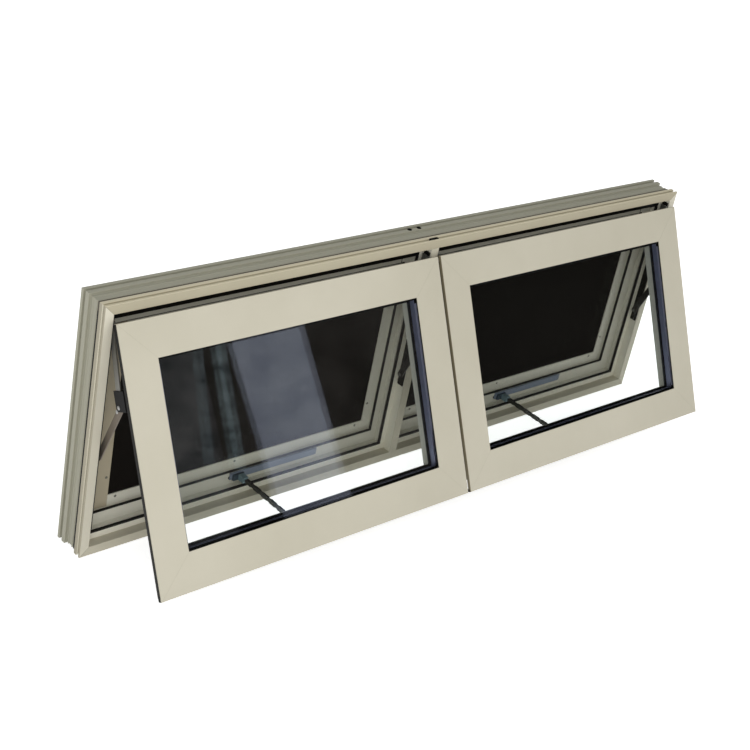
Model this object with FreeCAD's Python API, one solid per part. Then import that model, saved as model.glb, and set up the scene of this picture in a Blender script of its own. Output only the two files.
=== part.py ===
import FreeCAD, Part
import math
import os

Vector = FreeCAD.Vector

# Driving sizes in millimetres. Widths run along X, depths along Y from the outdoor
# face into the wall, heights along Z from the underside of the sill.
frame_width = 1500.0
frame_height = 500.0
frame_depth = 73.5
mullion_shift = -4.0
opening_angle = 26.8

# Frame extrusions: insets are measured inward from the frame's outer edge.
face_width = 18.0
flange_depth = 4.5
groove_depth = 10.5
groove_inset = 3.5
outer_depth = 18.5
break_inset = 3.5
break_step_inset = 14.0
leg_front = 20.0
leg_reach = 12.5
leg_thickness = 4.0
break_end_inset = 2.0
inner_front = 27.0
web_inset = 4.5
web_bead_height = 1.3
web_bead_width = 2.5
first_bead_front = 30.0
second_bead_front = 41.5
rear_rib_front = 50.0
rear_rib_back = 60.0
back_rib_front = 67.0
floor_reach = 14.5
upstand_front = 36.7
upstand_reach = 39.3
mullion_upstand_reach = 28.5
left_upstand_reach = 24.0
mullion_face = 19.0
edge_ease = 0.5

# Seals and insect screens, with reaches measured inward from the face's inner edge.
middle_seal_width = 2.6
head_flap_width = 7.0
middle_seal_proud = 1.0
middle_seal_back = 0.5
inner_seal_width = 1.2
inner_seal_setback = 0.5
inner_seal_depth = 6.0
screen_front = 48.0
screen_thickness = 10.0
screen_frame_width = 23.0
screen_mullion_width = 21.5
mesh_setback = 2.0
mesh_thickness = 1.0

# Sashes: insets run inward from the flange's edge and depths back from the sash's face.
sash_side_margin = 15.0
sash_end_margin = 15.35
sash_gap = 7.0
sash_top_drop = 28.3
sash_top_proud = 13.2
sash_face_width = 68.5
flange_thickness = 7.0
flange_overlap = 18.5
body_step_depth = 28.0
body_inset = 23.0
sash_depth = 44.0
lip_thickness = 1.6
rebate_inset = 54.0
glass_edge_gap = 3.0
glazing_seal_width = 12.0
front_seal_thickness = 1.5
front_seal_sight = 0.5
wedge_seal_thickness = 3.0
wedge_seal_sight = 7.2
spacer_sight = 4.0
bead_sight = 3.0
pane_thickness = 4.0
spacer_depth = 12.0

# Friction stays in the cavity between a jamb or the mullion and each sash.
track_over_top = 21.0
track_over_bottom = 26.0
track_front = 2.0
track_width = 15.0
track_thickness = 2.5
arm_thickness = 2.5
arm_width = 13.0
arm_gap = 0.5
stay_line_depth = 9.0
stay_knee_drop = 141.0
stay_knee_depth = 42.0
stay_arm_length = 135.0
pin_radius = 3.5
pin_head = 1.2
slider_length = 28.0
stay_block_rise = 29.0
stay_block_length = 38.0
stay_block_depth = 15.0

# Chain winders on the sill and their chains to the bottom rails.
plate_left = 24.0
plate_right = 190.0
plate_height = 14.5
plate_thickness = 2.7
guide_left = 18.0
guide_right = 7.0
guide_height = 13.0
guide_depth = 7.0
guide_lift = 8.5
nose_left = 7.0
nose_right = 5.0
nose_height = 12.0
nose_depth = 15.0
nose_mouth = 0.3
left_chain_shift = -9.0
right_chain_shift = -16.0
chain_height = 9.0
chain_width = 6.0
chain_pin_inset = 12.0
chain_pin_depth = 36.5
bracket_width = 26.0
bracket_plate = 3.0
bracket_length = 15.0
bracket_ear = 3.0
bracket_ear_gap = 0.6
handle_height = 28.0
handle_shift = 60.0
handle_base_length = 62.0
handle_base_height = 24.0
handle_base_depth = 12.0
handle_arm_length = 78.0
handle_arm_width = 13.0
handle_arm_thickness = 6.0
handle_knob_radius = 8.0
handle_knob_length = 20.0

# The part's origin lies under the middle of the sill, on its rear bearing rib.
origin_depth = (rear_rib_front + rear_rib_back) / 2

half_width = frame_width / 2
half_face = mullion_face / 2
sash_height = frame_height - 2 * sash_end_margin
sash_top_height = frame_height - sash_top_drop
theta = math.radians(opening_angle)
parts_folder = "parts"
os.makedirs(parts_folder, exist_ok=True)
nodes = {}


def keep(name, shape):
    """Stores a finished shape under its node's name, moved to the part's origin."""
    moved = shape.copy()
    moved.translate(Vector(0, -origin_depth, 0))
    nodes[name] = moved


def eased(section, cut):
    """Cuts every corner of a section by the same small amount along both of its edges."""
    corners = [Vector(inset, depth, 0) for inset, depth in section]
    result = []
    for index, corner in enumerate(corners):
        for other in (corners[index - 1], corners[(index + 1) % len(corners)]):
            toward = (other - corner).normalize()
            point = corner + toward * cut
            result.append((point.x, point.y))
    return result


def mitred_bar(rect, side, section):
    """Makes a bar along one side of a rectangle, with both ends mitred at its corners."""
    left, right, bottom, top = rect
    ends = []
    for far in (False, True):
        points = []
        for inset, depth in section:
            if side in ("sill", "head"):
                x = right - inset if far else left + inset
                z = bottom + inset if side == "sill" else top - inset
            else:
                x = left + inset if side == "left" else right - inset
                z = top - inset if far else bottom + inset
            points.append(Vector(x, depth, z))
        ends.append(Part.makePolygon(points + points[:1]))
    bar = Part.makeLoft(ends, True, True)
    if bar.Volume < 0:
        bar.reverse()
    return bar


def box(x_low, x_high, y_low, y_high, z_low, z_high):
    """Makes a block from its low and high corners."""
    size = (x_high - x_low, y_high - y_low, z_high - z_low)
    return Part.makeBox(*size, Vector(x_low, y_low, z_low))


def ring(rect, low_inset, high_inset, front, back, top_inset=None):
    """Makes a closed ring of rectangular section, whose top bar may have its own inset."""
    left, right, bottom, top = rect
    block = box(left + low_inset, right - low_inset, front, back, bottom + low_inset, top - low_inset)
    hole_top = top - (high_inset if top_inset is None else top_inset)
    hole = box(left + high_inset, right - high_inset, front, back, bottom + high_inset, hole_top)
    return block.cut(hole)


# Frame sections. The outer shell holds the face, the stay cavity and the seal leg, the
# break joins the shells, and the inner shell holds the upstand and both rear ribs.
leg_tip = face_width + leg_reach
leg_back = leg_front + leg_thickness
outer_section = [
    (0, 0),
    (face_width, 0),
    (face_width, leg_front),
    (leg_tip, leg_front),
    (leg_tip, leg_back),
    (break_step_inset, leg_back),
    (break_step_inset, outer_depth),
    (0, outer_depth),
    (0, groove_depth),
    (groove_inset, groove_depth),
    (groove_inset, flange_depth),
    (0, flange_depth),
]
break_end = leg_tip - break_end_inset
upstand_end = face_width + upstand_reach
inner_section = [
    (web_inset, inner_front),
    (face_width + floor_reach, inner_front),
    (face_width + floor_reach, upstand_front),
    (upstand_end, upstand_front),
    (upstand_end, frame_depth),
    (0, frame_depth),
    (0, back_rib_front),
    (web_inset, back_rib_front),
    (web_inset, rear_rib_back),
    (0, rear_rib_back),
    (0, rear_rib_front),
    (web_inset, rear_rib_front),
]
for bead_front in (second_bead_front, first_bead_front):
    inner_section += [
        (web_inset, bead_front + web_bead_width),
        (web_inset - web_bead_height, bead_front + web_bead_width),
        (web_inset - web_bead_height, bead_front),
        (web_inset, bead_front),
    ]

frame_rect = (-half_width, half_width, 0.0, frame_height)
member_names = {"sill": "sill", "head": "head", "left": "left_jamb", "right": "right_jamb"}
outer_bars = {}
inner_bars = {}
for side, name in member_names.items():
    outer_bars[side] = mitred_bar(frame_rect, side, eased(outer_section, edge_ease))
    inner_bars[side] = mitred_bar(frame_rect, side, eased(inner_section, edge_ease))
    if side == "left":
        step = box(-half_width + face_width + left_upstand_reach, -half_width + upstand_end,
                   upstand_front, frame_depth, upstand_end, frame_height - upstand_end)
        inner_bars[side] = inner_bars[side].cut(step)
    keep(name + "_outer", outer_bars[side])
    keep(name + "_inner", inner_bars[side])


def mullion_bar(half_sections):
    """Extrudes a symmetric section of (half width, depth) points from sill to head."""
    right_side = [Vector(mullion_shift + reach, depth, 0) for reach, depth in half_sections]
    left_side = [Vector(mullion_shift - reach, depth, 0) for reach, depth in reversed(half_sections)]
    outline = Part.makePolygon(right_side + left_side + right_side[:1])
    return Part.Face(outline).extrude(Vector(0, 0, frame_height))


def coped(bar, bars):
    """Cuts a mullion bar back to the sill and head sections that it butts against."""
    slab = box(-half_width, half_width, 0, frame_depth, face_width, frame_height - face_width)
    return bar.common(slab).cut([bars["sill"], bars["head"]])


mullion_outer = mullion_bar([
    (half_face, 0),
    (half_face, leg_front),
    (half_face + leg_reach, leg_front),
    (half_face + leg_reach, leg_back),
])
mullion_inner = mullion_bar([
    (half_face + floor_reach, inner_front),
    (half_face + floor_reach, upstand_front),
    (half_face + mullion_upstand_reach, upstand_front),
    (half_face + mullion_upstand_reach, frame_depth),
])
break_half = half_face + leg_reach - break_end_inset
mullion_break = mullion_bar([(break_half, leg_back), (break_half, inner_front)])
plain_outer = {side: mitred_bar(frame_rect, side, outer_section) for side in ("sill", "head")}
plain_inner = {side: mitred_bar(frame_rect, side, inner_section) for side in ("sill", "head")}
break_ring = ring(frame_rect, break_inset, break_step_inset, outer_depth, inner_front)
break_ring = break_ring.fuse(ring(frame_rect, break_step_inset, break_end, leg_back, inner_front))
keep("mullion_outer", coped(mullion_outer, plain_outer))
keep("mullion_inner", coped(mullion_inner, plain_inner))
keep("frame_thermal_break", break_ring.fuse(mullion_break.common(
    box(-half_width, half_width, 0, frame_depth, break_end, frame_height - break_end))).removeSplitter())


def sash_section():
    """Gives the section of a sash rail or stile, flange to the left and glass rebate right."""
    return [
        (0, 0),
        (sash_face_width, 0),
        (sash_face_width, lip_thickness),
        (rebate_inset, lip_thickness),
        (rebate_inset, sash_depth),
        (body_inset, sash_depth),
        (body_inset, body_step_depth),
        (flange_overlap, body_step_depth),
        (flange_overlap, flange_thickness),
        (0, flange_thickness),
    ]


def opened(shape):
    """Swings a sash piece, drawn closed with its top edge at height 0, to its open place."""
    moved = shape.copy()
    moved.rotate(Vector(0, 0, 0), Vector(1, 0, 0), -opening_angle)
    moved.translate(Vector(0, -sash_top_proud, sash_top_height))
    return moved


def sash_point(drop, depth):
    """Gives the depth and height of a sash point in the frame, from its closed place."""
    y = -sash_top_proud - drop * math.sin(theta) + depth * math.cos(theta)
    z = sash_top_height - drop * math.cos(theta) - depth * math.sin(theta)
    return y, z


def make_sash(light, left, right):
    """Makes one sash: four mitred rails, sealed glass unit, seals and inner beads."""
    rect = (left, right, -sash_height, 0.0)
    section = eased(sash_section(), edge_ease)
    pieces = {"sill": "bottom_rail", "head": "top_rail", "left": "left_stile", "right": "right_stile"}
    for side, name in pieces.items():
        keep(light + "_sash_" + name, opened(mitred_bar(rect, side, section)))
    seal_end = sash_face_width + front_seal_sight
    wedge_end = sash_face_width + wedge_seal_sight
    glass_front = lip_thickness + front_seal_thickness
    spacer_front = glass_front + pane_thickness
    inner_pane = spacer_front + spacer_depth
    glass_back = inner_pane + pane_thickness
    bead_front = glass_back + wedge_seal_thickness
    front_seal = ring(rect, seal_end - glazing_seal_width, seal_end, lip_thickness, glass_front)
    wedge_seal = ring(rect, wedge_end - glazing_seal_width, wedge_end, glass_back, bead_front)
    keep(light + "_glazing_seals", opened(Part.makeCompound([front_seal, wedge_seal])))
    edge = rebate_inset + glass_edge_gap
    panes = []
    for front in (glass_front, inner_pane):
        panes.append(box(left + edge, right - edge, front, front + pane_thickness,
                         -sash_height + edge, -edge))
    keep(light + "_glass_panes", opened(Part.makeCompound(panes)))
    spacer = ring(rect, edge, sash_face_width + spacer_sight, spacer_front, inner_pane)
    keep(light + "_glass_spacer", opened(spacer))
    bead = ring(rect, rebate_inset, sash_face_width + bead_sight, bead_front, sash_depth)
    keep(light + "_glazing_beads", opened(bead))


def flat_arm(x_low, start, end):
    """Makes a flat stay arm with round ends between two pivots, given as (depth, height)."""
    first = Vector(x_low, *start)
    second = Vector(x_low, *end)
    along = (second - first).normalize()
    aside = Vector(1, 0, 0).cross(along) * (arm_width / 2)
    cap = along * (arm_width / 2)
    edges = [
        Part.LineSegment(first + aside, second + aside).toShape(),
        Part.Arc(second + aside, second + cap, second - aside).toShape(),
        Part.LineSegment(second - aside, first - aside).toShape(),
        Part.Arc(first - aside, first - cap, first + aside).toShape(),
    ]
    return Part.Face(Part.Wire(edges)).extrude(Vector(arm_thickness, 0, 0))


def pin(x_low, x_high, radius, place):
    """Makes a round pin along X."""
    return Part.makeCylinder(radius, x_high - x_low, Vector(x_low, *place), Vector(1, 0, 0))


def make_stay(wall, inward, sash_edge):
    """Makes one friction stay beside a sash, as steel pieces and the black block on the sash.

    It is drawn with its cavity wall at x = 0 and the sash towards +X, then mirrored if needed.
    """
    body_side = (sash_edge - wall) * inward + body_inset
    knee = sash_point(stay_knee_drop, stay_knee_depth)
    half_span = math.sqrt(stay_arm_length ** 2 - (stay_line_depth - knee[0]) ** 2)
    low_pivot = (stay_line_depth, knee[1] - half_span)
    slide_pivot = (stay_line_depth, knee[1] + half_span)
    track = box(0, track_thickness, track_front, track_front + track_width,
                low_pivot[1] - track_over_bottom, slide_pivot[1] + track_over_top)
    upper_x = track_thickness + arm_gap
    lower_x = upper_x + arm_thickness + arm_gap
    block_x = lower_x + arm_thickness
    lower_arm = flat_arm(lower_x, low_pivot, knee)
    upper_arm = flat_arm(upper_x, knee, slide_pivot)
    low_pin = pin(track_thickness, lower_x + arm_thickness + pin_head, pin_radius, low_pivot)
    slider = box(track_thickness, upper_x + arm_thickness, track_front, track_front + track_width,
                 slide_pivot[1] - slider_length / 2, slide_pivot[1] + slider_length / 2)
    slide_pin = pin(upper_x, upper_x + arm_thickness + pin_head, pin_radius, slide_pivot)
    knee_pin = pin(upper_x - arm_gap, block_x, pin_radius, knee)
    steel = track.fuse([lower_arm, upper_arm, low_pin, slider, slide_pin, knee_pin])
    block_top = stay_block_rise - stay_knee_drop
    block = box(block_x, body_side, sash_depth - stay_block_depth, sash_depth,
                block_top - stay_block_length, block_top)
    block = opened(block)
    boss = pin(block_x, body_side - pin_head, pin_radius * 2, knee)
    sash_body = opened(box(body_side, body_side + body_inset, 0, sash_depth, -sash_height, 0))
    block = block.fuse(boss).cut(sash_body)
    placed = []
    for shape in (steel, block):
        piece = shape.copy()
        if inward < 0:
            piece = piece.mirror(Vector(0, 0, 0), Vector(1, 0, 0))
        piece.translate(Vector(wall, 0, 0))
        placed.append(piece)
    return placed


def make_winder(light, centre):
    """Makes one chain winder: cover plate, chain guide, chain with its bracket, and handle."""
    top = upstand_end
    plate = box(centre - plate_left, centre + plate_right, upstand_front - plate_thickness, upstand_front,
                top - plate_height, top)
    guide_low = face_width + floor_reach + guide_lift
    guide_front = upstand_front - guide_depth
    guide_middle = guide_low + guide_height / 2
    guide = box(centre - guide_left, centre + guide_right, guide_front, upstand_front,
                guide_low, guide_low + guide_height)
    guide = guide.fuse(box(centre - nose_left, centre + nose_right, guide_front - nose_depth, guide_front,
                           guide_middle - nose_height / 2, guide_middle + nose_height / 2))
    keep(light + "_winder_plate", plate.cut(guide))
    keep(light + "_winder_guide", guide.removeSplitter())
    end = sash_point(sash_height - chain_pin_inset, chain_pin_depth)
    start = (guide_front - nose_depth - nose_mouth, guide_middle)
    first = Vector(centre, *start)
    second = Vector(centre, *end)
    along = (second - first).normalize()
    aside = along.cross(Vector(1, 0, 0)) * (chain_height / 2)
    outline = [first + aside, second + aside, second - aside, first - aside, first + aside]
    chain = Part.Face(Part.makePolygon(outline)).extrude(Vector(chain_width / 2, 0, 0))
    chain = chain.fuse(Part.Face(Part.makePolygon(outline)).extrude(Vector(-chain_width / 2, 0, 0)))
    chain = chain.fuse(pin(centre - chain_width / 2, centre + chain_width / 2, chain_height / 2, end))
    rail_bottom = -sash_height + body_inset
    plate_back = sash_depth - bracket_length
    seat = box(centre - bracket_width / 2, centre + bracket_width / 2, plate_back, sash_depth,
               rail_bottom - bracket_plate, rail_bottom)
    pieces = [opened(seat)]
    ear_low = -sash_height + chain_pin_inset - chain_height / 2
    for side in (-1, 1):
        inner = centre + side * (chain_width / 2 + bracket_ear_gap)
        outer = inner + side * bracket_ear
        ear = box(min(inner, outer), max(inner, outer), plate_back, sash_depth, ear_low, rail_bottom)
        pieces.append(opened(ear))
    ear_reach = chain_width / 2 + bracket_ear_gap + bracket_ear
    pieces.append(pin(centre - ear_reach, centre + ear_reach, pin_radius / 2, end))
    bracket = pieces[0].fuse(pieces[1:])
    keep(light + "_winder_chain", chain.fuse(bracket).removeSplitter())
    middle = centre + handle_shift
    base = box(middle - handle_base_length / 2, middle + handle_base_length / 2, frame_depth,
               frame_depth + handle_base_depth, handle_height - handle_base_height / 2,
               handle_height + handle_base_height / 2)
    hub = Part.makeCylinder(handle_arm_width / 2, handle_base_depth + handle_arm_thickness,
                            Vector(middle, frame_depth, handle_height), Vector(0, 1, 0))
    arm_front = frame_depth + handle_base_depth
    arm = box(middle, middle + handle_arm_length, arm_front, arm_front + handle_arm_thickness,
              handle_height - handle_arm_width / 2, handle_height + handle_arm_width / 2)
    knob = Part.makeCylinder(handle_knob_radius, handle_knob_length,
                             Vector(middle + handle_arm_length, arm_front, handle_height), Vector(0, 1, 0))
    keep(light + "_winder_handle", base.fuse([hub, arm, knob]).removeSplitter())


def make_light(light, sight, sash_left, sash_right, mullion_side, chain_shift):
    """Makes one light: seals, insect screen, sash, stays and winder."""
    left, right, bottom, top = sight
    left_reach = mullion_upstand_reach if mullion_side == "left" else left_upstand_reach
    right_reach = mullion_upstand_reach if mullion_side == "right" else upstand_reach
    outside = (left + left_reach, right - right_reach, bottom + upstand_reach, top - upstand_reach)
    middle_seal = ring(sight, leg_reach, leg_reach + middle_seal_width,
                       leg_front - middle_seal_proud, leg_back + middle_seal_back,
                       leg_reach + head_flap_width)
    seal_front = upstand_front + inner_seal_setback
    inner_seal = ring(outside, 0, inner_seal_width, seal_front, seal_front + inner_seal_depth)
    keep(light + "_frame_seals", Part.makeCompound([middle_seal, inner_seal]))
    wide_frame = screen_frame_width + upstand_reach - left_upstand_reach
    left_width = screen_mullion_width if mullion_side == "left" else wide_frame
    right_width = screen_mullion_width if mullion_side == "right" else screen_frame_width
    opening = (outside[0] + left_width, outside[1] - right_width,
               outside[2] + screen_frame_width, outside[3] - screen_frame_width)
    block = box(outside[0], outside[1], screen_front, screen_front + screen_thickness, outside[2], outside[3])
    hole = box(opening[0], opening[1], screen_front, screen_front + screen_thickness, opening[2], opening[3])
    keep(light + "_screen_frame", block.cut(hole))
    mesh_front = screen_front + mesh_setback
    keep(light + "_screen_mesh", box(opening[0], opening[1], mesh_front, mesh_front + mesh_thickness,
                                     opening[2], opening[3]))
    make_sash(light, sash_left, sash_right)
    steel = []
    blocks = []
    for wall, inward, edge in ((left, 1, sash_left), (right, -1, sash_right)):
        stay_steel, stay_block = make_stay(wall, inward, edge)
        steel.append(stay_steel)
        blocks.append(stay_block)
    keep(light + "_stays", Part.makeCompound(steel))
    keep(light + "_stay_blocks", Part.makeCompound(blocks))
    make_winder(light, (sash_left + sash_right) / 2 + chain_shift)


sight_bottom = face_width
sight_top = frame_height - face_width
sash_outer = half_width - sash_side_margin
left_sight = (-half_width + face_width, mullion_shift - half_face, sight_bottom, sight_top)
right_sight = (mullion_shift + half_face, half_width - face_width, sight_bottom, sight_top)
make_light("left", left_sight, -sash_outer, mullion_shift - sash_gap / 2, "right", left_chain_shift)
make_light("right", right_sight, mullion_shift + sash_gap / 2, sash_outer, "left", right_chain_shift)

for name, shape in nodes.items():
    shape.exportStep(os.path.join(parts_folder, name + ".step"))
    print(name, shape.isValid(), len(shape.Solids), round(shape.Volume))
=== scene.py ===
import bpy
import bmesh
import math
from mathutils import Matrix, Vector


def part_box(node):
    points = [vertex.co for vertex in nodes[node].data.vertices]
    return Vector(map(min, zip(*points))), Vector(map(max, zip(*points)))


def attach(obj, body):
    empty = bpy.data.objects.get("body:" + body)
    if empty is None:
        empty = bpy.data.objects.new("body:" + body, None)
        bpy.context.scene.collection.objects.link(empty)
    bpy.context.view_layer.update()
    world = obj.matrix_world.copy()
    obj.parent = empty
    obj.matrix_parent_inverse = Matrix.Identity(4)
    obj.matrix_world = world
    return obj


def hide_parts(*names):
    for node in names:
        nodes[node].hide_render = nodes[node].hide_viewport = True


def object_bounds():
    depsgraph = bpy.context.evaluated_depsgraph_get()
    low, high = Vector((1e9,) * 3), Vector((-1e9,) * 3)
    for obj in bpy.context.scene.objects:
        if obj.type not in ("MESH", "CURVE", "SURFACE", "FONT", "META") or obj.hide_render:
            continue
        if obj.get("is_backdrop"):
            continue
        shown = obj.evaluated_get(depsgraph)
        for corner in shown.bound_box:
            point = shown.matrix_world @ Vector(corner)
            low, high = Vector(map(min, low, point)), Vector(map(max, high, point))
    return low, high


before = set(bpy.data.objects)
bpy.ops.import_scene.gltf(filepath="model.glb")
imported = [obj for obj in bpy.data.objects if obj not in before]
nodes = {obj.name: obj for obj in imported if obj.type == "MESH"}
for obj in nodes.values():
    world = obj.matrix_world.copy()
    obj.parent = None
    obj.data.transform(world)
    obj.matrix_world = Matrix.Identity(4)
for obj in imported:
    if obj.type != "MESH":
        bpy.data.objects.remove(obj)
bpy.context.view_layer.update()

# The camera stands outdoors, to the window's left and above it, and is rolled so that
# the long frame climbs to the right as it does in the photograph.
camera_data = bpy.data.cameras.new("camera")
camera = bpy.data.objects.new("camera", camera_data)
bpy.context.collection.objects.link(camera)
bpy.context.scene.camera = camera
camera_data.sensor_width = 36
camera_data.lens = 72.66
camera_data.clip_start = 0.1
camera_data.clip_end = 60
stand = Vector((-2.01292, -1.84455, 1.63097))
forward = Vector((0.64325626, 0.60162612, -0.47356878))
up = Vector((0.20061173, 0.46447347, 0.86256555))
right = forward.cross(up)
camera.matrix_world = Matrix((
    (right.x, up.x, -forward.x, stand.x),
    (right.y, up.y, -forward.y, stand.y),
    (right.z, up.z, -forward.z, stand.z),
    (0, 0, 0, 1),
))


# The frame: mitred aluminium extrusions, an outer and an inner shell on each side and
# at the mullion, powder-coated in a pale stone. The baked powder gives a half-matt shine
# that a fine orange-peel skin breaks up.
frame_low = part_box("sill_outer")[0]
frame_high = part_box("head_inner")[1]


def colour(code):
    """Turns a screen colour such as #C9C3B0 into the linear value that a node takes."""
    parts = [int(code[i:i + 2], 16) / 255 for i in (1, 3, 5)]
    return [p / 12.92 if p <= 0.04045 else ((p + 0.055) / 1.055) ** 2.4 for p in parts] + [1]


def add_node(tree, kind, inputs=None, **settings):
    """Adds a node with its settings, and links each input to a socket or gives it a value."""
    node = tree.nodes.new("ShaderNode" + kind)
    for name, value in settings.items():
        setattr(node, name, value)
    for key, value in (inputs or {}).items():
        if isinstance(value, bpy.types.NodeSocket):
            tree.links.new(value, node.inputs[key])
        else:
            node.inputs[key].default_value = value
    return node


def new_material(name):
    """Makes a material with nodes, and returns it with its node tree."""
    material = bpy.data.materials.new(name)
    material.use_nodes = True
    return material, material.node_tree


def coated(name, light, dark, rough, grain, bump, metal=0.0, patch=333.3):
    """Makes a finish of two tones in soft patches, with a fine skin and uneven roughness.

    The widths of the skin's grains and of the patches are in millimetres.
    """
    material, tree = new_material(name)
    shader = tree.nodes["Principled BSDF"]
    unevenness = 0.06
    skin_height = 0.0002
    place = add_node(tree, "TexCoord").outputs["Object"]
    patches = add_node(tree, "TexNoise", {
        "Vector": place, "Scale": 1000 / patch, "Detail": 5.0, "Roughness": 0.6})
    skin = add_node(tree, "TexNoise", {"Vector": place, "Scale": 1000 / grain, "Detail": 3.0})
    tone = add_node(tree, "ValToRGB", {"Fac": patches.outputs["Fac"]})
    for stop, at, code in zip(tone.color_ramp.elements, (0.3, 0.7), (dark, light)):
        stop.position = at
        stop.color = colour(code)
    uneven = add_node(tree, "MapRange", {
        "Value": patches.outputs["Fac"], "To Min": rough - unevenness, "To Max": rough + unevenness})
    raised = add_node(tree, "Bump", {
        "Height": skin.outputs["Fac"], "Strength": bump, "Distance": skin_height})
    tree.links.new(tone.outputs["Color"], shader.inputs["Base Color"])
    tree.links.new(uneven.outputs["Result"], shader.inputs["Roughness"])
    tree.links.new(raised.outputs["Normal"], shader.inputs["Normal"])
    shader.inputs["Metallic"].default_value = metal
    return material


def powder_coated(name, light="#D3CDB9", dark="#C9C3AE"):
    """Makes a baked powder coat, whose orange-peel skin has grains about 0.56 mm wide."""
    return coated(name, light, dark, rough=0.5, grain=0.5556, bump=0.35)


def two_tone(material, code, *tests):
    """Gives a finish a second colour where all the tests hold.

    Each test compares the size of one axis of the object position or of the normal.
    """
    tree = material.node_tree
    held = 1.0
    for source, axis, operation, limit in tests:
        place = add_node(tree, "TexCoord").outputs[source]
        along = add_node(tree, "SeparateXYZ", {"Vector": place}).outputs[axis]
        size = add_node(tree, "Math", {0: along}, operation="ABSOLUTE").outputs[0]
        test = add_node(tree, "Math", {0: size, 1: limit}, operation=operation).outputs[0]
        held = add_node(tree, "Math", {0: held, 1: test}, operation="MULTIPLY").outputs[0]
    base = tree.nodes["Principled BSDF"].inputs["Base Color"]
    mixed = add_node(tree, "MixRGB", {
        "Fac": held, "Color1": base.links[0].from_socket, "Color2": colour(code)})
    tree.links.new(mixed.outputs["Color"], base)


def paint(material, *names):
    """Gives CAD nodes their finished material."""
    for name in names:
        slots = nodes[name].data.materials
        slots.clear()
        slots.append(material)


# Behind the face that meets the weather, the outer shell's coat is painted paler, as painted
# light that lifts the shade the sashes cast there: on the sill's rear wall, and on the sides
# of the mullion and the jambs.
facing = 0.7
painted_light_tone = "#F7F3E2"
behind_face = ("Object", "Y", "LESS_THAN", -frame_low.y - 0.0007)
sill_coat = powder_coated("sill_coat")
two_tone(sill_coat, painted_light_tone, ("Normal", "Y", "GREATER_THAN", facing), behind_face)
paint(sill_coat, "sill_outer")
mullion_coat = powder_coated("mullion_coat")
two_tone(mullion_coat, painted_light_tone, behind_face)
paint(mullion_coat, "mullion_outer")

# On its face the head's coat is painted a shade darker and yellower than the rest, as painted
# shade where the head gets less light than the sashes, while its top keeps a paler tone. The
# jambs' coat is painted paler than the rest, as painted light, and is greyer and darker on
# their outer sides.
outer_side = ("Object", "X", "GREATER_THAN", frame_high.x - 0.008)
head_shaded_coat = powder_coated("head_shaded_coat", "#BEB69C", "#B5AC92")
two_tone(head_shaded_coat, "#D8CFB2", ("Normal", "Z", "GREATER_THAN", facing))
paint(head_shaded_coat, "head_outer")
# Painted light: the jambs' coat is paler than the rest of the frame's.
jamb_painted_light_coat = powder_coated("jamb_painted_light_coat", "#E4DECB", "#DAD4C0")
two_tone(jamb_painted_light_coat, painted_light_tone, behind_face)
two_tone(jamb_painted_light_coat, "#AFA892", ("Normal", "X", "GREATER_THAN", facing), outer_side)
paint(jamb_painted_light_coat, "left_jamb_outer", "right_jamb_outer")

# The inner shell's coat is painted paler than the outer shell's, as painted light that lifts
# the shade inside the frame. It is greyer and greener on the four outer sides, which the
# wall hides once the window is built in.
thin_skin = 0.0052
inner_painted_light_coat = powder_coated("inner_painted_light_coat", "#E0DDCD", "#D7D4C4")
two_tone(inner_painted_light_coat, "#ACAA97", ("Object", "X", "GREATER_THAN", frame_high.x - thin_skin))
two_tone(inner_painted_light_coat, "#ACAA97", ("Object", "Z", "GREATER_THAN", frame_high.z - thin_skin))
two_tone(inner_painted_light_coat, "#ACAA97", ("Object", "Z", "LESS_THAN", thin_skin))
for member in ("sill", "head", "left_jamb", "right_jamb", "mullion"):
    paint(inner_painted_light_coat, member + "_inner")

# Between the shells runs the thermal break, a bar of extruded black polyamide with a dull
# skin. Dust from the wall turns it brown on the head.
polyamide = coated("polyamide", "#17160F", "#100F0B", rough=0.7, grain=1.111, bump=0.3)
two_tone(polyamide, "#5A5346", ("Object", "Z", "GREATER_THAN", frame_high.z - 0.02))
paint(polyamide, "frame_thermal_break")


# On the head, black fixings by the mullion: two steel screws plated in black zinc, which
# have a soft dark shine, in the rear rib, and the plug in the front groove that closes
# the mullion's upper end.
def mesh_piece(name, points, faces, material, place=Matrix()):
    """Makes a Blender piece from points in metres and hangs it on the window."""
    mesh = bpy.data.meshes.new(name)
    mesh.from_pydata([place @ Vector(p) for p in points], [], faces)
    mesh.update()
    piece = bpy.data.objects.new(name, mesh)
    bpy.context.collection.objects.link(piece)
    mesh.materials.append(material)
    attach(piece, "root")
    return piece


def blocks(name, boxes, material, edge, place=Matrix()):
    """Makes one piece of several blocks, given by low and high corners, with eased edges."""
    shape = bmesh.new()
    for low, high in boxes:
        centre = [(a + b) / 2 for a, b in zip(low, high)]
        size = [b - a for a, b in zip(low, high)]
        made = bmesh.ops.create_cube(shape, size=1.0)["verts"]
        bmesh.ops.scale(shape, vec=size, verts=made)
        bmesh.ops.translate(shape, vec=centre, verts=made)
    bmesh.ops.bevel(
        shape, geom=shape.edges[:], offset=edge, segments=2, profile=0.7, affect="EDGES")
    shape.transform(place)
    piece = mesh_piece(name, [], [], material)
    shape.to_mesh(piece.data)
    shape.free()
    return piece


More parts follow.
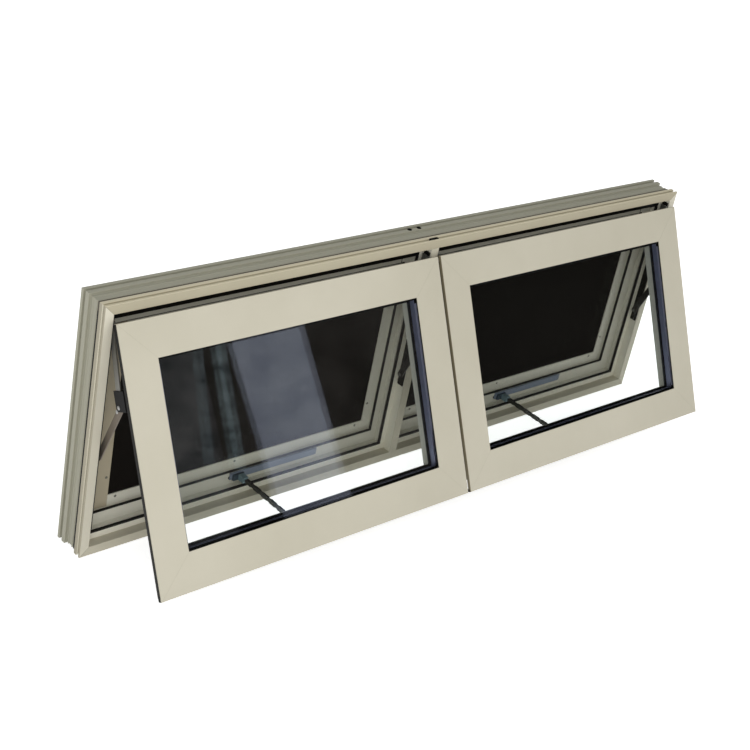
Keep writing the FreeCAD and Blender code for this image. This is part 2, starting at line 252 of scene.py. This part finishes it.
def heads(name, spots, material, radius, height, crossed=True):
    """Makes domed screw or rivet heads at points, each facing its own direction."""
    steps = 20
    rings = ((1.0, -0.2), (1.0, 0.3), (0.86, 0.68), (0.55, 0.93), (0.12, 1.0))
    cross_ring, cross_depth = 0.55, 0.45
    points, faces = [], []
    for spot, outward in spots:
        turn = Vector(outward).to_track_quat("Z", "Y").to_matrix()
        start = len(points)
        for reach, rise in rings:
            for i in range(steps):
                angle = 2 * math.pi * i / steps
                sunk = crossed and reach == cross_ring and i % 5 == 0
                local = Vector((
                    reach * radius * math.cos(angle),
                    reach * radius * math.sin(angle),
                    (rise - cross_depth if sunk else rise) * height,
                ))
                points.append(turn @ local + Vector(spot))
        for row in range(len(rings) - 1):
            for i in range(steps):
                a = start + row * steps + i
                b = start + row * steps + (i + 1) % steps
                faces.append([a, b, b + steps, a + steps])
        faces.append([len(points) - steps + i for i in range(steps)])
    piece = mesh_piece(name, points, faces, material)
    for face in piece.data.polygons:
        face.use_smooth = True
    return piece


black_zinc = coated("black_zinc", "#1F1F1D", "#141413", rough=0.45, grain=2.0, bump=0.2, metal=0.4)
head_screw_spots = [(-0.0257, 0.002, frame_high.z), (-0.001, 0.002, frame_high.z)]
heads("head_screws", [(spot, (0, 0, 1)) for spot in head_screw_spots],
      black_zinc, radius=0.0048, height=0.0014)
plug_low = (-0.0165, frame_low.y + 0.0046, frame_high.z - 0.0045)
plug_high = (0.004, frame_low.y + 0.0104, frame_high.z + 0.001)
blocks("mullion_end_plug", [(plug_low, plug_high)], black_zinc, edge=0.0004)

# Two dark joints cross the front of the head's inner upstand, where its snap-in cover
# strip ends beside the mullion and beside the right jamb.
joint_half, joint_front, joint_back = 0.0006, -0.0186, -0.0178
joint_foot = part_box("head_inner")[0].z + 0.0003
joint_top = joint_foot + 0.0148
strip_ends = (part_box("mullion_inner")[0].x - 0.0095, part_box("right_jamb_inner")[0].x - 0.009)
blocks("head_strip_joints", [
    ((x - joint_half, joint_front, joint_foot), (x + joint_half, joint_back, joint_top))
    for x in strip_ends
], black_zinc, edge=0.0001)

# Mitre joints: hairlines of sealant at the corners of the frame's face, which cures matt
# and a little darker than the coat.
sealant = coated("sealant", "#A39E8C", "#98937F", rough=0.7, grain=1.429, bump=0.2)


def mitre_lines(name, rect, material, width, depth, breadth, place=Matrix()):
    """Draws a thin raised line along each mitre of a rectangle whose sides are width wide."""
    x_low, x_high, z_low, z_high = rect
    corners = (
        (x_low, z_low, 1, 1), (x_high, z_low, -1, 1),
        (x_low, z_high, 1, -1), (x_high, z_high, -1, -1),
    )
    sides = ((0, 1, 3, 2), (4, 6, 7, 5), (0, 4, 5, 1), (2, 3, 7, 6), (0, 2, 6, 4), (1, 5, 7, 3))
    half = breadth / 2 / math.sqrt(2)
    sunk, proud, end_gap = 0.00012, 0.0001, 0.0004
    points, faces = [], []
    for x, z, inward, upward in corners:
        start = len(points)
        for y in (depth - sunk, depth + proud):
            for step in (end_gap, width - end_gap):
                for aside in (-half, half):
                    points.append((x + inward * (step + aside), y, z + upward * (step - aside)))
        for face in sides:
            faces.append([start + i for i in face])
    return mesh_piece(name, points, faces, material, place)


frame_rect = (frame_low.x, frame_high.x, frame_low.z, frame_high.z)
mitre_lines("frame_mitre_lines", frame_rect, sealant, width=0.018, depth=frame_low.y, breadth=0.0005)
mitre_lines("rear_mitre_lines", frame_rect, sealant, width=0.042, depth=frame_high.y, breadth=0.0004)

# The weather seals round each light and each glass unit: extruded rubber, matt black,
# with a drawn skin that catches no light. Lips and bulbs are pressed into grooves.
rubber = coated("seal_rubber", "#17150F", "#0F0E0B", rough=0.6, grain=1.667, bump=0.3)
for light in ("left", "right"):
    paint(rubber, light + "_frame_seals", light + "_glazing_seals")

# Insect screens: a pale painted aluminium frame, smooth and half matt, its paint made paler
# still as painted light that lifts the shade inside the frame. On the left frame's jamb side,
# in the left sash's shade, it is browner and darker, as painted shade.
screen_paint = coated("screen_paint", "#E4E1D1", "#DAD7C7", rough=0.45, grain=0.6667, bump=0.3)
paint(screen_paint, "right_screen_frame")
shaded_paint = coated(
    "shaded_screen_frame_paint", "#E4E1D1", "#DAD7C7", rough=0.45, grain=0.6667, bump=0.3)
mesh_edge = -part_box("left_screen_mesh")[0].x
# Painted shade: the left frame's jamb side, beyond the mesh, is browner and darker.
two_tone(shaded_paint, "#BAAF95", ("Object", "X", "GREATER_THAN", mesh_edge))
paint(shaded_paint, "left_screen_frame")

# The screens' mesh: threads in black vinyl, woven plainly, so that it takes light out
# without a shine. Blender's wave repeats at pi / 10 over its scale.
thread_spacing = 0.0017453
screen_mesh, tree = new_material("screen_mesh")
shader = tree.nodes["Principled BSDF"]
place = add_node(tree, "TexCoord").outputs["Object"]
waves = [add_node(tree, "TexWave", {
    "Vector": place, "Scale": math.pi / 10 / thread_spacing}, bands_direction=axis) for axis in "XZ"]
weave = add_node(tree, "Math", {
    0: waves[0].outputs["Fac"], 1: waves[1].outputs["Fac"]}, operation="MAXIMUM").outputs["Value"]
threads = add_node(tree, "ValToRGB", {"Fac": weave})
for stop, at, code in zip(threads.color_ramp.elements, (0.45, 0.8), ("#0A0806", "#181410")):
    stop.position = at
    stop.color = colour(code)
raised = add_node(tree, "Bump", {"Height": weave, "Strength": 0.5, "Distance": 0.0003})
tree.links.new(threads.outputs["Color"], shader.inputs["Base Color"])
tree.links.new(raised.outputs["Normal"], shader.inputs["Normal"])
shader.inputs["Roughness"].default_value = 0.8
shader.inputs["Specular IOR Level"].default_value = 0.1
for light in ("left", "right"):
    paint(screen_mesh, light + "_screen_mesh")

# Small screws of dull passivated steel hold each screen's frame: three along the top and
# bottom, and two up each side. The left frame is 15.3 mm wider, outside its screws.
dull_screw = coated("dull_screw", "#878778", "#74756A", rough=0.5, grain=2.0, bump=0.2, metal=0.3)
row_inset, row_end, row_middle = 0.0163, 0.0395, 0.3056
column_inset, column_end = 0.0158, 0.063
extra_width = {"left": 0.0153, "right": 0.0}
for light in ("left", "right"):
    low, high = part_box(light + "_screen_frame")
    edge = low.x + extra_width[light]
    spots = []
    for x, inset in (
            (edge + row_end, row_inset), (edge + row_middle, row_inset), (high.x - row_end, row_inset),
            (edge + column_inset, column_end), (high.x - column_inset, column_end)):
        spots.append(((x, low.y, low.z + inset), (0, -1, 0)))
        spots.append(((x, low.y, high.z - inset), (0, -1, 0)))
    heads(light + "_screen_screws", spots, dull_screw, radius=0.0026, height=0.0012)

# Sashes: mitred rails and stiles in the frame's coat, with snap-in beads behind the glass
# whose coat is painted paler and more neutral, as painted light. The right sash's side that
# faces the left sash is painted browner and darker, as painted shade in the gap between them.
powder_coat = powder_coated("powder_coat")
lit_bead_coat = powder_coated("lit_bead_coat", "#EDEEE2", "#E4E5D9")
for light in ("left", "right"):
    for member in ("bottom_rail", "top_rail", "left_stile", "right_stile"):
        paint(powder_coat, light + "_sash_" + member)
    paint(lit_bead_coat, light + "_glazing_beads")
# Painted shade on the right sash's side that faces the left sash.
shaded_meeting_coat = powder_coated("shaded_meeting_coat")
two_tone(shaded_meeting_coat, "#887F67", ("Normal", "X", "GREATER_THAN", facing))
paint(shaded_meeting_coat, "right_sash_left_stile")

# The sash's own frame has its origin on the front of its top edge, from where it hangs
# open. Its mitres show as hairlines of sealant, much finer than the frame's.
opening_angle = 26.8
top_proud, top_drop, sash_margin = 0.0132, 0.0283, 0.01535
sash_bottom = -(frame_high.z - frame_low.z - 2 * sash_margin)
hanging = Matrix.Translation((0, frame_low.y - top_proud, frame_high.z - top_drop))
swing = hanging @ Matrix.Rotation(math.radians(-opening_angle), 4, "X")
fine_sealant = coated("fine_sealant", "#C5C0AD", "#B9B4A1", rough=0.7, grain=1.429, bump=0.2)
sash_sides = {}
for light in ("left", "right"):
    low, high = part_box(light + "_sash_top_rail")
    sash_sides[light] = (low.x, high.x)
    mitre_lines(light + "_sash_mitre_lines", (low.x, high.x, sash_bottom, 0),
                fine_sealant, width=0.0685, depth=0, breadth=0.0003, place=swing)

# A black rubber gasket is pressed into a groove in the flange along the bottom and the
# jamb side of each sash, and closes against the frame when the sash is shut.
proud, into, front, back = 0.0006, 0.005, 0.0022, 0.0095
top_gap = 0.0005
for light, (x_low, x_high) in sash_sides.items():
    jamb_side = (x_low - proud, x_low + into) if light == "left" else (x_high - into, x_high + proud)
    blocks(light + "_flange_gasket", [
        ((x_low, front, sash_bottom - proud), (x_high, back, sash_bottom + into)),
        ((jamb_side[0], front, sash_bottom + into), (jamb_side[1], back, -top_gap)),
    ], rubber, edge=0.0003, place=swing)

# Sealed glass units: two panes of clear float glass each, flat and glossy, with a breath
# of dust that blurs what they mirror here and there.
dust_patch = 166.7
glass, tree = new_material("clear_glass")
shader = tree.nodes["Principled BSDF"]
place = add_node(tree, "TexCoord").outputs["Object"]
film = add_node(tree, "TexNoise", {
    "Vector": place, "Scale": 1000 / dust_patch, "Detail": 6.0, "Roughness": 0.7})
dust = add_node(tree, "MapRange", {"Value": film.outputs["Fac"], "To Min": 0.0, "To Max": 0.03})
tree.links.new(dust.outputs["Result"], shader.inputs["Roughness"])
shader.inputs["Base Color"].default_value = colour("#FDFFFE")
shader.inputs["Transmission Weight"].default_value = 1.0
shader.inputs["IOR"].default_value = 1.5

# The panes are held apart by a rolled aluminium spacer, dull blue-grey. The butyl that seals
# its flanks to the panes is black along the rails, and at the stiles the flanks are painted a
# pale grey-blue, as painted light that lifts the shadow of the sash's lip.
spacer_metal = coated(
    "spacer_metal", "#848AA4", "#747A94", rough=0.4, grain=2.0, bump=0.2, metal=0.45)
stile_middle, stile_half = 0.258, 0.14
tree = spacer_metal.node_tree
shader = tree.nodes["Principled BSDF"]
own = add_node(tree, "TexCoord")
across = add_node(tree, "VectorMath", {
    0: own.outputs["Normal"], 1: swing.to_3x3() @ Vector((0, 1, 0))}, operation="DOT_PRODUCT")
flat = add_node(tree, "Math", {0: across.outputs["Value"]}, operation="ABSOLUTE")
flank = add_node(tree, "Math", {0: flat.outputs[0], 1: facing}, operation="GREATER_THAN")
level = add_node(tree, "SeparateXYZ", {"Vector": own.outputs["Object"]}).outputs["Z"]
stile = add_node(tree, "Math", {0: level, 1: stile_middle, 2: stile_half}, operation="COMPARE")
# Black butyl on the rails, and painted light on the stiles' flanks.
butyl_and_painted_light = add_node(tree, "MixRGB", {
    "Fac": stile.outputs[0], "Color1": colour("#101010"), "Color2": colour("#9CA0B8")})
sealed = add_node(tree, "MixRGB", {
    "Fac": flank.outputs[0],
    "Color1": shader.inputs["Base Color"].links[0].from_socket,
    "Color2": butyl_and_painted_light.outputs["Color"],
})
tree.links.new(sealed.outputs["Color"], shader.inputs["Base Color"])
for light in ("left", "right"):
    paint(glass, light + "_glass_panes")
    paint(spacer_metal, light + "_glass_spacer")
    nodes[light + "_glass_panes"].visible_shadow = False

# Friction stays: steel tracks screwed to the frame's sides, and steel arms on rivets, with a
# brushed grey shine. The steel is painted darker, as painted shade where the stays stand in the
# frame's shade. Each layer is given by its distance from the wall and its colour at each
# light's two sides: the dark track first, and the arm that is furthest in.
steel = coated(
    "stay_steel", "#A3A29D", "#898883", rough=0.38, grain=2.5, bump=0.3, metal=0.75, patch=83.33)
walls = []
for light in ("left", "right"):
    low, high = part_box(light + "_stays")
    walls += [(low.x, 1), (high.x, -1)]
# Painted shade: darker steel tones on the track and on the innermost arm.
stay_shade_layers = (
    (0.0, 0.0026, {1: "#33312C", -1: "#33312C"}),
    (0.00725, 0.0013, {1: "#8E8479", -1: "#4E4B46"}),
)
tree = steel.node_tree
base = tree.nodes["Principled BSDF"].inputs["Base Color"]
place = add_node(tree, "SeparateXYZ", {"Vector": add_node(tree, "TexCoord").outputs["Object"]})
tone = base.links[0].from_socket
for middle, reach, shade_codes in stay_shade_layers:
    for wall, inward in walls:
        near = add_node(tree, "Math", {
            0: place.outputs["X"], 1: wall + inward * middle, 2: reach}, operation="COMPARE")
        mixed = add_node(tree, "MixRGB", {
            "Fac": near.outputs[0], "Color1": tone, "Color2": colour(shade_codes[inward])})
        tone = mixed.outputs["Color"]
tree.links.new(tone, base)

# A block on each sash stile and a cap over each knee are moulded in black plastic, with a
# fine matt grain. The knees and the arms below them turn on bright steel rivets.
black_plastic = coated("black_plastic", "#0F0F10", "#0A0A0B", rough=0.6, grain=1.111, bump=0.3)
for light in ("left", "right"):
    paint(steel, light + "_stays")
    paint(black_plastic, light + "_stay_blocks")
knee_depth, knee_drop = 0.042, 0.141
pivot_depth, pivot_height = 0.009, 0.2008
knee = swing @ Vector((0, knee_depth, -knee_drop))
pivot = Vector((0, frame_low.y + pivot_depth, pivot_height))
second_rivet = knee.lerp(pivot, 0.075)
cap_inner, cap_outer = 0.003, 0.0008
cap_front, cap_back, cap_foot, cap_top = 0.021, 0.050, -0.148, -0.112
track_thickness, screw_line = 0.0025, -0.0405
screw_levels = (0.192, 0.25, 0.36, 0.468)
caps, rivets, track_screws = [], [], []
for wall, inward in walls:
    outer, inner = wall + inward * cap_outer, wall + inward * cap_inner
    caps.append(((min(outer, inner), cap_front, cap_foot), (max(outer, inner), cap_back, cap_top)))
    for spot in (knee, second_rivet):
        rivets.append((Vector((outer, spot.y, spot.z)), (-inward, 0, 0)))
    for z in screw_levels:
        spot = Vector((wall + inward * track_thickness, screw_line, z))
        track_screws.append((spot, (inward, 0, 0)))
blocks("stay_knee_caps", caps, black_plastic, edge=0.0006, place=swing)
bright_rivet = coated("bright_rivet", "#B9B9B6", "#A2A29F", rough=0.3, grain=2.5, bump=0.2, metal=0.7)
heads("stay_rivets", rivets, bright_rivet, radius=0.0038, height=0.001, crossed=False)
heads("track_screws", track_screws, black_zinc, radius=0.0024, height=0.0004)

# Chain winders: a pressed cover plate in smooth blue-grey paint on the sill, and a pale
# painted crank handle indoors. The chain's guide is moulded in dark blue-grey plastic,
# and its nose, which rubs on the chain, in a lighter one.
winder_grey = coated("winder_grey", "#7C8797", "#6E798A", rough=0.4, grain=1.111, bump=0.3)
handle_paint = coated("handle_paint", "#BDBAB0", "#B1AEA4", rough=0.4, grain=0.8333, bump=0.3)
guide_plastic = coated("guide_plastic", "#384A55", "#2D3D48", rough=0.45, grain=1.111, bump=0.3)
nose_back = 0.0255
two_tone(guide_plastic, "#748B92", ("Object", "Y", "GREATER_THAN", nose_back))
for light in ("left", "right"):
    paint(winder_grey, light + "_winder_plate")
    paint(guide_plastic, light + "_winder_guide")
    paint(handle_paint, light + "_winder_handle")

# The push chain: pairs of steel side plates, inner and outer in turn, on riveted pins, and
# the bracket that ties it to the sash's bottom rail. Oil keeps the steel dark and dull.
chain_steel = coated(
    "chain_steel", "#4A4C45", "#3A3B36", rough=0.4, grain=2.0, bump=0.4, metal=0.5, patch=50.0)
link_count = 16
plate_end, plate_waist = 0.0044, 0.0039
inner_plate, outer_plate = (0.0003, 0.0014), (0.0016, 0.0028)
chain_gap, first_pin = 0.0003, 0.0046
last_pin_depth, last_pin_inset = 0.0365, 0.012
bracket_half, bracket_front, bracket_back = 0.013, 0.029, 0.044
bracket_foot = sash_bottom + 0.02
bracket_top = bracket_foot + 0.003
ear_inner, ear_outer = 0.0036, 0.0066
ear_foot, ear_top = sash_bottom + 0.0075, bracket_foot + 0.0025
bracket_screw_spread = 0.01
guide_screw_aside, guide_screw_drop = 0.0055, 0.0008


def link_plate(points, faces, x_low, x_high, line, first, last):
    """Adds one plate with round ends and a waist, between two distances along the chain.

    The line is the chain's first pin, its direction and the direction of a plate's width.
    """
    start, along, aside = line
    outline = []
    for end, sign in ((first, -1), (last, 1)):
        for i in range(9):
            angle = math.pi * (i / 8 - 0.5)
            outline.append((
                end + sign * plate_end * math.cos(angle), sign * plate_end * math.sin(angle)))
        outline.append((first + (last - first) * (0.5 - sign * 0.12), sign * plate_waist))
    base = len(points)
    for x in (x_low, x_high):
        for run, rise in outline:
            points.append(Vector((x, 0, 0)) + start + along * run + aside * rise)
    n = len(outline)
    faces.append([base + i for i in range(n)])
    faces.append([base + n + i for i in reversed(range(n))])
    for i in range(n):
        j = (i + 1) % n
        faces.append([base + i, base + n + i, base + n + j, base + j])


for light in ("left", "right"):
    low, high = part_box(light + "_winder_chain")
    guide_low, guide_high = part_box(light + "_winder_guide")
    centre = (low.x + high.x) / 2
    mouth = Vector((0, guide_low.y - chain_gap, (guide_low.z + guide_high.z) / 2))
    end = swing @ Vector((0, last_pin_depth, sash_bottom + last_pin_inset))
    along = (end - mouth).normalized()
    start = mouth + along * first_pin
    line = (start, along, Vector((1, 0, 0)).cross(along))
    pitch = (end - start).length / link_count
    points, faces, pins = [], [], []
    for i in range(link_count):
        near, far = inner_plate if i % 2 else outer_plate
        for x_low, x_high in ((near, far), (-far, -near)):
            link_plate(points, faces, centre + x_low, centre + x_high, line, i * pitch, (i + 1) * pitch)
        for at in (i, i + 1):
            spot = start + along * (at * pitch)
            for side in (1, -1):
                pins.append((Vector((centre + side * outer_plate[1], spot.y, spot.z)), (side, 0, 0)))
    chain = mesh_piece(light + "_chain_links", points, faces, chain_steel)
    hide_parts(light + "_winder_chain")
    heads(light + "_chain_pins", pins, chain_steel,
          radius=0.0017, height=0.0004, crossed=False)
    blocks(light + "_chain_bracket", [
        ((centre + x_low, bracket_front, foot), (centre + x_high, bracket_back, top))
        for x_low, x_high, foot, top in (
            (-bracket_half, bracket_half, bracket_foot, bracket_top),
            (-ear_outer, -ear_inner, ear_foot, ear_top),
            (ear_inner, ear_outer, ear_foot, ear_top))
    ], chain_steel, edge=0.0005, place=swing)
    downward = swing.to_3x3() @ Vector((0, 0, -1))
    bracket_screws = [
        (swing @ Vector((centre + side * bracket_screw_spread, last_pin_depth, bracket_foot)), downward)
        for side in (-1, 1)
    ]
    heads(light + "_bracket_screws", bracket_screws, dull_screw,
          radius=0.0022, height=0.001)
    guide_screw = (guide_low.x - guide_screw_aside, guide_high.y, mouth.z - guide_screw_drop)
    heads(light + "_guide_screw", [(guide_screw, (0, -1, 0))], black_zinc,
          radius=0.003, height=0.0012)

# The studio: a pale matt floor that glows a little, more where it is seen through glass,
# so that it comes out white and still keeps the window's shadow.
floor_size, floor_level = 9, -0.001
glow_seen, glow_bounced, glow_behind_glass = 0.74, 0.1, 0.36
floor_material, tree = new_material("studio_floor")
shader = tree.nodes["Principled BSDF"]
shader.inputs["Base Color"].default_value = colour("#EDEDEB")
shader.inputs["Roughness"].default_value = 0.9
shader.inputs["Specular IOR Level"].default_value = 0.0
shader.inputs["Emission Color"].default_value = colour("#FFFFFF")
rays = add_node(tree, "LightPath").outputs
glow = add_node(tree, "MapRange", {
    "Value": rays["Diffuse Depth"], "To Min": glow_seen, "To Max": glow_bounced})
strength = add_node(tree, "Math", {
    0: rays["Is Transmission Ray"], 1: glow_behind_glass, 2: glow.outputs["Result"],
}, operation="MULTIPLY_ADD")
tree.links.new(strength.outputs[0], shader.inputs["Emission Strength"])


def sheet(name, corners, material):
    """Makes a flat sheet that belongs to the studio."""
    mesh = bpy.data.meshes.new(name)
    mesh.from_pydata(corners, [], [(0, 1, 2, 3)])
    mesh.materials.append(material)
    piece = bpy.data.objects.new(name, mesh)
    bpy.context.collection.objects.link(piece)
    piece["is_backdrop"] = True
    return piece


floor_sides = ((-1, -1), (1, -1), (1, 1), (-1, 1))
sheet("floor", [(x * floor_size, y * floor_size, floor_level) for x, y in floor_sides], floor_material)

# The backdrop is the world: white to the camera, a soft light on the window, and nearly
# dark in what the glass and the metal mirror.
world = bpy.data.worlds.new("studio")
bpy.context.scene.world = world
world.use_nodes = True
tree = world.node_tree
tree.nodes.clear()
rays = add_node(tree, "LightPath").outputs
backdrop, soft, dim = [
    add_node(tree, "Background", {"Color": colour(code), "Strength": strength}).outputs[0]
    for code, strength in (("#FFFFFF", 1.0), ("#F6F7FA", 0.68), ("#C8BEB4", 0.013))
]
lit = add_node(tree, "MixShader", {0: rays["Diffuse Depth"], 1: backdrop, 2: soft})
seen = add_node(tree, "MixShader", {0: rays["Glossy Depth"], 1: lit.outputs[0], 2: dim})
add_node(tree, "OutputWorld", {"Surface": seen.outputs[0]})


# Two large soft lights: the key to the left of the camera, and a weak fill from the front.
# Neither shows in the glass.
def area_light(name, place, aim, size, power):
    """Adds a square soft light that looks at a point."""
    data = bpy.data.lights.new(name, "AREA")
    data.size = size
    data.energy = power
    lamp = bpy.data.objects.new(name, data)
    bpy.context.collection.objects.link(lamp)
    lamp.location = place
    lamp.rotation_mode = "QUATERNION"
    lamp.rotation_quaternion = (Vector(aim) - Vector(place)).to_track_quat("-Z", "Y")
    lamp.visible_glossy = False
    lamp.visible_transmission = False


area_light("key_light", place=(-2.3, -2.4, 1.9), aim=(-0.2, 0, 0.2), size=2.0, power=27)
area_light("fill_light", place=(0.5, -2.9, 0.6), aim=(0.1, 0, 0.15), size=1.6, power=8)


# The left pane mirrors a dim yard with a wall, a leaning grey board and two pipes. They
# are sheets that glow, and only reflections see them. Patch widths are in millimetres.
def mirrored(name, corners, light, dark, patch, strength=1.0):
    """Adds a dim board of two tones that shows only as a reflection in the glass."""
    material, tree = new_material(name)
    tree.nodes.clear()
    place = add_node(tree, "TexCoord").outputs["Object"]
    noise = add_node(tree, "TexNoise", {
        "Vector": place, "Scale": 1000 / patch, "Detail": 6.0, "Roughness": 0.65})
    tone = add_node(tree, "ValToRGB", {"Fac": noise.outputs["Fac"]})
    for stop, at, code in zip(tone.color_ramp.elements, (0.35, 0.6), (dark, light)):
        stop.position = at
        stop.color = colour(code)
    glow = add_node(tree, "Emission", {"Color": tone.outputs["Color"], "Strength": strength})
    clear = add_node(tree, "BsdfTransparent")
    rays = add_node(tree, "LightPath")
    mix = add_node(tree, "MixShader", {
        0: rays.outputs["Glossy Depth"], 1: clear.outputs[0], 2: glow.outputs[0]})
    add_node(tree, "OutputMaterial", {"Surface": mix.outputs[0]})
    board = sheet(name, corners, material)
    board.visible_camera = False
    board.visible_diffuse = False
    board.visible_shadow = False


mirrored("mirrored_board", (
    (0.576, -1.561, 0.922), (0.812, -1.505, 0.914), (0.843, -1.72, 0.25), (0.615, -1.77, 0.26),
), "#C4CADC", "#9AA0B6", patch=142.9, strength=1.25)
mirrored("mirrored_pipe", (
    (0.499, -1.528, 0.922), (0.531, -1.525, 0.914), (0.524, -1.686, 0.545), (0.49, -1.69, 0.556),
), "#AFC0C6", "#4A5A60", patch=45.45, strength=1.05)
mirrored("mirrored_thin_pipe", (
    (0.417, -1.502, 0.909), (0.432, -1.5, 0.905), (0.402, -1.656, 0.564), (0.384, -1.657, 0.569),
), "#A0AFB6", "#4A5960", patch=45.45)
mirrored("mirrored_wall", (
    (0.499, -1.83, 1.072), (0.644, -1.79, 1.069), (0.655, -2.05, 0.439), (0.454, -2.1, 0.439),
), "#7C7C7E", "#2F373E", patch=166.7)
mirrored("mirrored_yard", (
    (0.703, -2.17, 1.142), (1.701, -1.886, 1.075), (1.666, -2.167, 0.3), (0.656, -2.444, 0.35),
), "#4A4644", "#201F1D", patch=200.0)

bpy.context.scene.view_settings.view_transform = "Standard"
low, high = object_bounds()
